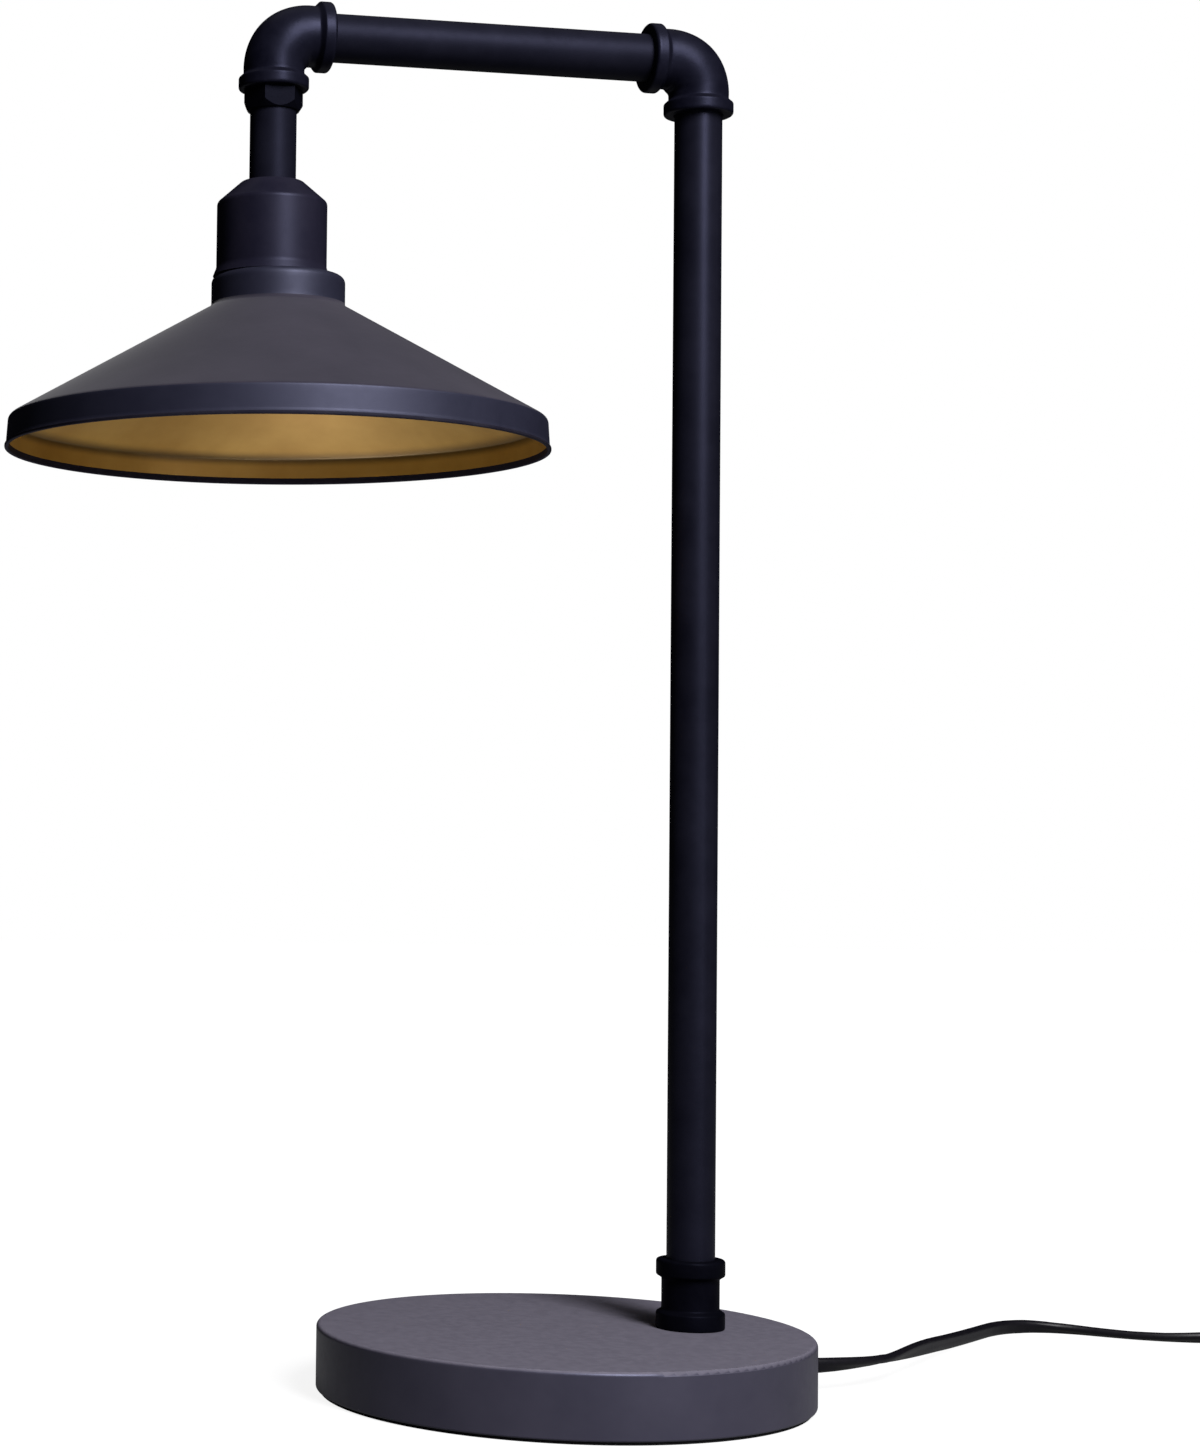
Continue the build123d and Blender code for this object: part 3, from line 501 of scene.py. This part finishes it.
lampSet = {
    "keySoftbox": {
        "power": 60.0, "size": (0.50, 1.20), "place": (0.34, -1.52, 1.45), "aim": (-0.03, 0.0, 0.33),
    },
    "topSoftbox": {
        "power": 6.0, "size": (0.7, 0.5), "place": (0.25, -0.85, 1.25), "aim": (-0.03, 0.0, 0.33),
    },
    "sideStrip": {
        "power": 1.2, "size": (0.12, 0.45), "place": (0.62, -1.12, 0.30), "aim": (0.0, 0.0, 0.02),
    },
    # two small lamps low under the shade stand in for the table's bounce
    "underBounce": {
        "power": 0.58, "size": (0.14, 0.12), "place": (-0.18, 0.14, 0.03), "aim": (-0.136, 0.02, 0.46),
    },
    "frontBounce": {
        "power": 1.2, "size": (0.24, 0.10), "place": (-0.16, -0.42, 0.02), "aim": (-0.136, 0.118, 0.42),
    },
}


def makeLamp(name, c):
    data = bpy.data.lights.new(name, "AREA")
    data.shape, data.energy = "RECTANGLE", c["power"]
    data.size, data.size_y = c["size"]
    lamp = bpy.data.objects.new(name, data)
    bpy.context.scene.collection.objects.link(lamp)
    away = Vector(c["place"]) - Vector(c["aim"])
    lamp.rotation_euler = away.to_track_quat("Z", "Y").to_euler()
    lamp.location = c["place"]
    lamp.visible_camera = False
    return lamp


cardSet = {
    "tone": (0.01, 0.01, 0.012),
    # where each card's foot begins and ends, and its height, in metres
    "feet": [
        ((-0.85, -1.3), (-0.85, 1.3), 2.2),
        ((-0.85, 1.3), (1.0, 1.3), 2.2),
        ((1.0, 1.3), (1.0, -0.1), 2.2),
    ],
}


def makeCards(c):
    # they keep the sides of the object dark, and neither the camera nor glass sees them
    mat, n, l = newMaterial("blackCard")
    out = n.new("ShaderNodeOutputMaterial")
    cloth = addNode(n, "ShaderNodeBsdfDiffuse", {"Color": (*c["tone"], 1)})
    l.new(cloth.outputs[0], out.inputs[0])
    for number, (first, last, height) in enumerate(c["feet"]):
        corners = [(*first, 0), (*last, 0), (*last, height), (*first, height)]
        mesh = bpy.data.meshes.new(f"blackCard{number}")
        mesh.from_pydata(corners, [], [(0, 1, 2, 3)])
        mesh.materials.append(mat)
        card = bpy.data.objects.new(f"blackCard{number}", mesh)
        bpy.context.scene.collection.objects.link(card)
        card.visible_camera = card.visible_transmission = False
        card.visible_diffuse = card.visible_shadow = False


makeFloor(roomSet)
makeWorld(roomSet)
lamps = {name: makeLamp(name, c) for name, c in lampSet.items()}
makeCards(cardSet)
bpy.context.scene.view_settings.view_transform = "Standard"
print("floor, world and lamps set")


# spun and carried surfaces

def roundedLine(points, radii, steps):
    # each corner becomes an arc of that many steps, which touches both of the corner's runs
    line = [np.array(points[0], float)]
    for before, here, after, radius in zip(points, points[1:], points[2:], radii):
        corner = np.array(here, float)
        back, on = np.array(before, float) - corner, np.array(after, float) - corner
        back, on = back / np.linalg.norm(back), on / np.linalg.norm(on)
        half = math.acos(float(np.clip(back @ on, -1, 1))) / 2
        centre = corner + (back + on) / np.linalg.norm(back + on) * radius / math.sin(half)
        first = corner + back * radius / math.tan(half) - centre
        last = corner + on * radius / math.tan(half) - centre
        sweep = math.pi - 2 * half
        for t in np.linspace(0, 1, steps + 1):
            spoke = math.sin((1 - t) * sweep) * first + math.sin(t * sweep) * last
            line.append(centre + spoke / math.sin(sweep))
    line.append(np.array(points[-1], float))
    return np.array(line)


def ringQuads(strips, count, around):
    # the corners of each face between ring i and the next; after the last ring comes the first again
    i, j = np.arange(strips)[:, None], np.arange(around)[None, :]
    k, onto = (j + 1) % around, (i + 1) % count
    quads = np.stack([i * around + j, i * around + k, onto * around + k, onto * around + j], -1)
    return quads.reshape(-1, 4)


def ringMesh(name, rings, slots, runs):
    # rings: ring, point on the ring, XYZ in metres; runs says which slot each strip between two rings has
    if np.allclose(rings[0], rings[-1], atol=1e-7):
        rings = rings[:-1]  # the surface comes back to where it began, so its last strip joins the first
    count, around = rings.shape[:2]
    quads = ringQuads(len(runs), count, around)
    slotOf = np.repeat(np.asarray(runs), around)
    mesh = bpy.data.meshes.new(name)
    mesh.vertices.add(count * around)
    mesh.vertices.foreach_set("co", rings.astype(np.float32).ravel())
    mesh.loops.add(len(quads) * 4)
    mesh.loops.foreach_set("vertex_index", quads.ravel().astype(np.int32))
    mesh.polygons.add(len(quads))
    mesh.polygons.foreach_set("loop_start", np.arange(len(quads), dtype=np.int32) * 4)
    mesh.polygons.foreach_set("material_index", slotOf.astype(np.int32))
    mesh.polygons.foreach_set("use_smooth", np.ones(len(quads), bool))
    mesh.update(calc_edges=True)
    mesh.validate()
    for slot in slots:
        mesh.materials.append(mats[slot])
    obj = bpy.data.objects.new(name, mesh)
    bpy.context.scene.collection.objects.link(obj)
    return obj


def spun(name, line, axisX, slots, runs, around):
    # line: radius and height in mm, turned about an upright axis; the surface's outside is on its right
    angle = np.arange(around) * 2 * math.pi / around
    radius, height = line[:, 0, None] * mm, line[:, 1, None] * mm
    rings = np.stack([axisX + radius * np.cos(angle), radius * np.sin(angle), height + 0 * angle], -1)
    return ringMesh(name, rings, slots, runs)


def denser(line, step):
    # adds points on the long runs, so that no two rings are further apart than step
    out = [line[:1]]
    for a, b in zip(line, line[1:]):
        count = max(1, int(math.ceil(np.linalg.norm(b - a) / step)))
        out.append(a + (b - a) * np.linspace(0, 1, count + 1)[1:, None])
    return np.vstack(out)


# shade

shadeSet = {
    "hole": 19.5, "top": 489.3, "neck": 29.3, "neckHeight": 13.5, "cone": 117.7, "rimTop": 425.0,
    "rim": 118.5, "rimBottom": 412.0, "sheet": 1.2,
    "lip": 0.6,               # the bead stands out by this, and is twice as high
    "beadTop": 0.3,           # where the bead runs into the band, above its own height
    "neckDrop": 0.6, "coneIn": 1.1,  # how far the inside's corners lie below and within the outside's
    "outsideRounds": [2.2, 2.5, 3.2], "insideRounds": [2.0, 3.4, 1.1], "beadRounds": [0.5, 0.5, 0.3],
    "outsideSteps": 7, "insideSteps": 6, "beadSteps": 4,  # to each rounded corner
    "darkLip": 2.6,           # height of the black edge on the gold inside
    "bandEdge": 0.2, "neckEdge": 1.2,  # where the satin paint of the band and neck begins
    "ringStep": 2.0, "around": 288,
}


def makeShade(c):
    # outside from the rim's lip up to the hole, then back down inside: one closed sheet
    sheet, low, lip = c["sheet"], c["rimBottom"], c["lip"]
    neckFoot, beadHigh = c["top"] - c["neckHeight"], low + 2 * lip
    outside = [
        (c["rim"], beadHigh), (c["cone"], c["rimTop"]), (c["neck"], neckFoot), (c["neck"], c["top"]),
        (c["hole"], c["top"]),
    ]
    inside = [
        (c["hole"], c["top"] - sheet), (c["neck"] - sheet, c["top"] - sheet),
        (c["neck"] - sheet, neckFoot - c["neckDrop"]), (c["cone"] - c["coneIn"], c["rimTop"] - c["coneIn"]),
        (c["rim"] - sheet, beadHigh),
    ]
    bead = [
        (c["rim"] - sheet, beadHigh), (c["rim"] - sheet, low), (c["rim"] + lip, low),
        (c["rim"] + lip, beadHigh), (c["rim"], beadHigh + c["beadTop"]),
    ]
    outer = denser(roundedLine(outside, c["outsideRounds"], c["outsideSteps"]), c["ringStep"])
    inner = denser(roundedLine(inside, c["insideRounds"], c["insideSteps"]), c["ringStep"])
    bead = roundedLine(bead, c["beadRounds"], c["beadSteps"])
    line = np.vstack([bead, outer[1:], inner[1:]])
    middle = (line[1:] + line[:-1]) / 2
    strip, height = np.arange(len(middle)), middle[:, 1]
    onInside = strip >= len(bead) + len(outer) - 2
    onBead = (strip < len(bead) - 1) | (onInside & (height < low + c["darkLip"]))
    band = (height < c["rimTop"] - c["bandEdge"]) & ~onInside
    neck = (height > neckFoot + c["neckEdge"]) & ~onInside
    slots = ["coneTopLitCoat", "rimCoat", "goldCoat", "lipCoat"]
    lipSlot, goldSlot, rimSlot, coneSlot = 3, 2, 1, 0
    # the cone's coat is lighter in colour than the band's and neck's: painted top light
    runs = np.select([onBead, onInside, band | neck], [lipSlot, goldSlot, rimSlot], coneSlot)
    obj = spun("spunShade", line, shadeX, slots, runs, c["around"])
    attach(obj, "shade_drop")
    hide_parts("shade")
    return obj


spunShade = makeShade(shadeSet)

# the white table's bounce up into the shade falls on nothing else
bounceOn = bpy.data.collections.new("bounceOn")
bounceOn.objects.link(spunShade)
for node in ("socket_body", "shade_ring", "bulb_glass"):
    bounceOn.objects.link(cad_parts[node])
for name in ("underBounce", "frontBounce"):
    lamps[name].light_linking.receiver_collection = bounceOn
print("shade made")


# elbows and coupling

elbowSet = {
    "band": 15.5, "body": 13.4, "mouth": 10.66, "bend": 15.5, "end": 25.0, "bandLength": 5.2, "bevel": 1.9,
    "mouthRound": 1.3, "bandRound": 0.9, "bodyRound": 1.4,
    # the body swells at the middle of its bend: by how much, over what length, and from where on
    "swell": 0.5, "swellReach": 7.5, "swellFrom": 9.0,
    "cornerSteps": 5, "ringStep": 0.8, "boreRings": 25, "around": 128,
}


def makeElbow(name, node, body, corner, turn, c):
    # the outline is carried along the centreline: straight socket, quarter bend, straight socket
    straight = c["end"] - c["bend"]
    arc = c["bend"] * math.pi / 2
    whole = 2 * straight + arc
    foot = [
        (c["mouth"], 0), (c["band"], 0), (c["band"], c["bandLength"]),
        (c["body"], c["bandLength"] + c["bevel"]), (c["body"], whole / 2),
    ]
    rounds = [c["mouthRound"], c["bandRound"], c["bodyRound"]]
    half = denser(roundedLine(foot, rounds, c["cornerSteps"]), c["ringStep"])
    hump = np.exp(-((half[:, 1] - whole / 2) / c["swellReach"]) ** 2)
    half[:, 0] += c["swell"] * hump * (half[:, 1] > c["swellFrom"])
    other = half[::-1][1:].copy()
    other[:, 1] = whole - other[:, 1]
    back = np.linspace(whole, 0, c["boreRings"])[1:]
    line = np.vstack([half, other, np.stack([np.full(len(back), c["mouth"]), back], 1)])
    s = line[:, 1]
    angle = np.clip((s - straight) / c["bend"], 0, math.pi / 2)
    # centreline in the elbow's own plane: u runs away from the bend's inside, w is up
    u = -c["bend"] * (1 - np.cos(angle)) - np.clip(s - straight - arc, 0, None)
    w = -c["bend"] + c["bend"] * np.sin(angle) - np.clip(straight - s, 0, None)
    around = np.arange(c["around"]) * 2 * math.pi / c["around"]
    out = np.stack([np.cos(angle), np.sin(angle)], 1)
    rim = line[:, 0, None] * np.cos(around)
    x = (u[:, None] + rim * out[:, :1]) * turn
    y = line[:, 0, None] * np.sin(around) * turn
    z = w[:, None] + rim * out[:, 1:]
    rings = np.stack([corner[0] + x * mm, corner[1] + y * mm, corner[2] + z * mm], -1)
    obj = ringMesh(name, rings, ["fittingCoat"], np.zeros(len(line) - 1, int))
    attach(obj, body)
    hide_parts(node)


makeElbow("castElbowPost", "post_elbow", "arm", (postX, 0, armZ), 1, elbowSet)
makeElbow("castElbowHead", "head_elbow", "head", (headX, 0, armZ), -1, elbowSet)

couplingSet = {
    "low": 29.5, "high": 60.0, "band": 15.1, "bandHeight": 7.0, "bevel": 1.5, "body": 12.7, "mouth": 10.66,
    "rounds": [0.7, 1.0, 1.2, 1.2, 1.0, 1.3], "cornerSteps": 5, "ringStep": 1.5, "around": 128,
}


def makeCoupling(c):
    # a closed outline turned about the post's axis: lower band, body, upper band, then down the bore
    low, high, b = c["low"], c["high"], c["bandHeight"]
    outside = [
        (c["mouth"], low), (c["band"], low), (c["band"], low + b), (c["body"], low + b + c["bevel"]),
        (c["body"], high - b - c["bevel"]), (c["band"], high - b), (c["band"], high), (c["mouth"], high),
    ]
    line = denser(roundedLine(outside, c["rounds"], c["cornerSteps"]), c["ringStep"])
    line = np.vstack([line, [(c["mouth"], low)]])
    runs = np.zeros(len(line) - 1, int)
    obj = spun("castCoupling", line, postX, ["shadedFittingCoat"], runs, c["around"])
    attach(obj, "base")
    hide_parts("foot_coupling")


makeCoupling(couplingSet)
print("elbows and coupling made")


# mains cord

cordSet = {
    "width": 7.0, "thick": 4.0,
    # the outline's corners: nearer to 0 is squarer; the groove's depth is a share of the thickness
    "squareAcross": 0.75, "squareThick": 0.7, "groove": 0.16, "grooveWide": 0.8, "outlinePoints": 30,
    # the route on the table, in mm, from the base to the switch and on to the coil
    "toSwitch": [
        (98, 0, 12), (141, 0, 12), (197, 58.5, 9.8), (236, 105.5, 4.8), (298, 164.5, 3.5),
        (359.5, 112, 3.5), (397, 107, 4.8), (417, 83, 6.5), (417, 56, 6.5),
    ],
    "toCoil": [(417, 20, 6.5), (417, 2, 6.5), (417, -22, 3.5)],
    "coilCentre": (372.4, -36.0), "turns": 5.5, "perTurn": 14,
    "outerTurn": 44.6, "pitch": 7.0, "columns": 3, "lowTurn": 3.5,
    "changeOver": 0.2,     # share of a turn in which the cord moves over to the next place
    "toPlug": [(346, -1, 10.5), (359.4, 14.6, 8), (366, 27, 8)],
    "exitPoint": (0.1085, 0, 0.012),
    # roll about the line at each length in mm: 0 lies flat, 90 stands on edge
    "roll": [
        (0, 84), (12, 80), (30, 56), (48, 30), (66, 12), (84, 40), (104, 66), (130, 90), (172, 90),
        (205, 84), (235, 80), (255, 66), (272, 38), (290, 22), (310, 14), (326, 20), (345, 40),
        (362, 50), (398, 0), (498, 0), (528, 88), (1800, 88), (1832, 30), (1920, 0),
    ],
    "settleOver": 1.3,     # mm above the lowest turn, over which the cord stops resting on the table
    "ringStep": 2.2, "resolution": 10,
}


def coilPoints(c):
    # turns run clockwise: inwards on the table, then outwards on top of those, with a smooth step between
    count = int(round(c["turns"] * c["perTurn"])) + 1
    turn = np.arange(count) / c["perTurn"]
    whole = np.floor(turn)
    blend = np.clip((turn - whole - (1 - c["changeOver"])) / c["changeOver"], 0, 1)
    blend = blend * blend * (3 - 2 * blend)
    slot = np.minimum(whole + blend, 2 * c["columns"] - 1)
    column = np.where(slot <= c["columns"] - 1, slot, np.maximum(2 * c["columns"] - 1 - slot, 0))
    column = np.minimum(column, c["columns"] - 1)
    layer = np.clip(slot - (c["columns"] - 1), 0, 1)
    bulge = 1 / math.cos(math.pi / c["perTurn"])  # the spline runs inside its control points
    radius = (c["outerTurn"] - c["pitch"] * column) * bulge
    angle = -2 * math.pi * turn
    x = c["coilCentre"][0] + radius * np.cos(angle)
    y = c["coilCentre"][1] + radius * np.sin(angle)
    return np.stack([x, y, c["lowTurn"] + c["pitch"] * layer], 1)


def cordCentreline(c):
    # a NURBS curve guided by the route's points, read back as the points of its line
    route = np.vstack([c["toSwitch"], c["toCoil"], coilPoints(c), c["toPlug"]]) * mm
    data = bpy.data.curves.new("cordRoute", "CURVE")
    data.dimensions, data.resolution_u = "3D", c["resolution"]
    spline = data.splines.new("NURBS")
    spline.points.add(len(route) - 1)
    spline.points.foreach_set("co", np.column_stack([route, np.ones(len(route))]).ravel())
    spline.order_u, spline.use_endpoint_u = 3, True
    line = bpy.data.objects.new("cordRoute", data)
    bpy.context.scene.collection.objects.link(line)
    mesh = bpy.data.meshes.new_from_object(line.evaluated_get(bpy.context.evaluated_depsgraph_get()))
    points = np.zeros(len(mesh.vertices) * 3)
    mesh.vertices.foreach_get("co", points)
    bpy.data.objects.remove(line)
    return points.reshape(-1, 3)


def lengthsAlong(points):
    # the length of the line from its start to each point
    steps = np.linalg.norm(np.diff(points, axis=0), axis=1)
    return np.concatenate([[0], np.cumsum(steps)])


def steadyPoints(points, step):
    # the same line with even steps, so that the rings of the tube are all as far apart
    along = lengthsAlong(points)
    count = int(along[-1] / step) + 1
    places = np.linspace(0, along[-1], count)
    return np.stack([np.interp(places, along, points[:, i]) for i in range(3)], 1), places


def signedPower(values, power):
    # keeps the sign of each value, so a circle's sines and cosines draw a squarer oval
    return np.sign(values) * np.abs(values) ** power


def twinOutline(c):
    # two round lobes side by side: a rounded bar with a shallow groove along both faces
    turn = np.arange(c["outlinePoints"]) * 2 * math.pi / c["outlinePoints"]
    across = c["width"] / 2 * signedPower(np.cos(turn), c["squareAcross"])
    thick = c["thick"] / 2 * signedPower(np.sin(turn), c["squareThick"])
    return across * mm, thick * (1 - c["groove"] * np.exp(-(across / c["grooveWide"]) ** 2)) * mm


def cordTube(points, along, c):
    # each ring is the outline turned about the line by the roll at that length, and rests on the table
    ahead = np.gradient(points, axis=0)
    ahead /= np.linalg.norm(ahead, axis=1, keepdims=True)
    side = np.cross(ahead, [0, 0, 1])
    side /= np.linalg.norm(side, axis=1, keepdims=True)
    up = np.cross(side, ahead)
    roll = np.radians(np.interp(along / mm, *zip(*c["roll"])))[:, None]
    wide = np.cos(roll) * side + np.sin(roll) * up
    thin = np.cos(roll) * up - np.sin(roll) * side
    across, thick = twinOutline(c)
    rings = across[None, :, None] * wide[:, None] + thick[None, :, None] * thin[:, None]
    lowest = rings[:, :, 2].min(1)
    sink = np.minimum(points[:, 2], c["lowTurn"] * mm) + lowest
    settle = np.clip((c["lowTurn"] + c["settleOver"] - points[:, 2] / mm) / c["settleOver"], 0, 1)
    rings = rings + points[:, None]
    rings[:, :, 2] -= (sink * settle)[:, None]
    return rings


def tubeObject(name, rings, mat):
    # rings one after another, with a flat cap at each end
    count, around = rings.shape[:2]
    caps = [list(range(around))[::-1], list(range((count - 1) * around, count * around))]
    mesh = bpy.data.meshes.new(name)
    mesh.from_pydata(rings.reshape(-1, 3), [], ringQuads(count - 1, count, around).tolist() + caps)
    mesh.polygons.foreach_set("use_smooth", np.ones(len(mesh.polygons), bool))
    obj = bpy.data.objects.new(name, mesh)
    bpy.context.scene.collection.objects.link(obj)
    mesh.materials.append(mats[mat])
    return obj


strapSet = {
    "angle": -90,          # degrees round the coil
    "halfWide": 10.8, "high": 14.9, "strap": 6.5, "thick": 0.9, "square": 0.42, "around": 72,
}


def makeStrap(c, cord):
    # a squared oval around the coil's turns, carried round the strap's own flat section
    turn = np.arange(c["around"]) * 2 * math.pi / c["around"]
    section = np.array([(-1, 1), (1, 1), (1, 0), (-1, 0), (-1, 1)]) * (c["strap"] / 2, c["thick"])
    flat, shrink = section[:, :1], section[:, 1:]
    lean = (c["halfWide"] - shrink) * signedPower(np.cos(turn), c["square"])
    rise = (c["high"] / 2 - shrink) * signedPower(np.sin(turn), c["square"]) + c["high"] / 2
    angle = math.radians(c["angle"])
    reach = cord["outerTurn"] - cord["pitch"] * (cord["columns"] - 1) / 2 + lean
    x = cord["coilCentre"][0] + reach * math.cos(angle) - flat * math.sin(angle)
    y = cord["coilCentre"][1] + reach * math.sin(angle) + flat * math.cos(angle)
    runs = np.zeros(len(section) - 1, int)
    obj = ringMesh("coilStrap", np.stack([x, y, rise], -1) * mm, ["reliefRubber"], runs)
    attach(obj, "base")
    return obj


coilStrap = makeStrap(strapSet, cordSet)
cordPath, cordAlong = steadyPoints(cordCentreline(cordSet), cordSet["ringStep"] * mm)
mainsCord = tubeObject("mainsCord", cordTube(cordPath, cordAlong, cordSet), "cordSkin")
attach(mainsCord, "base")
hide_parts("cord_lead", "cord_link", "cord_coil", "cord_tail")
print("cord length", round(float(cordAlong[-1]), 3), "rings", len(cordPath))
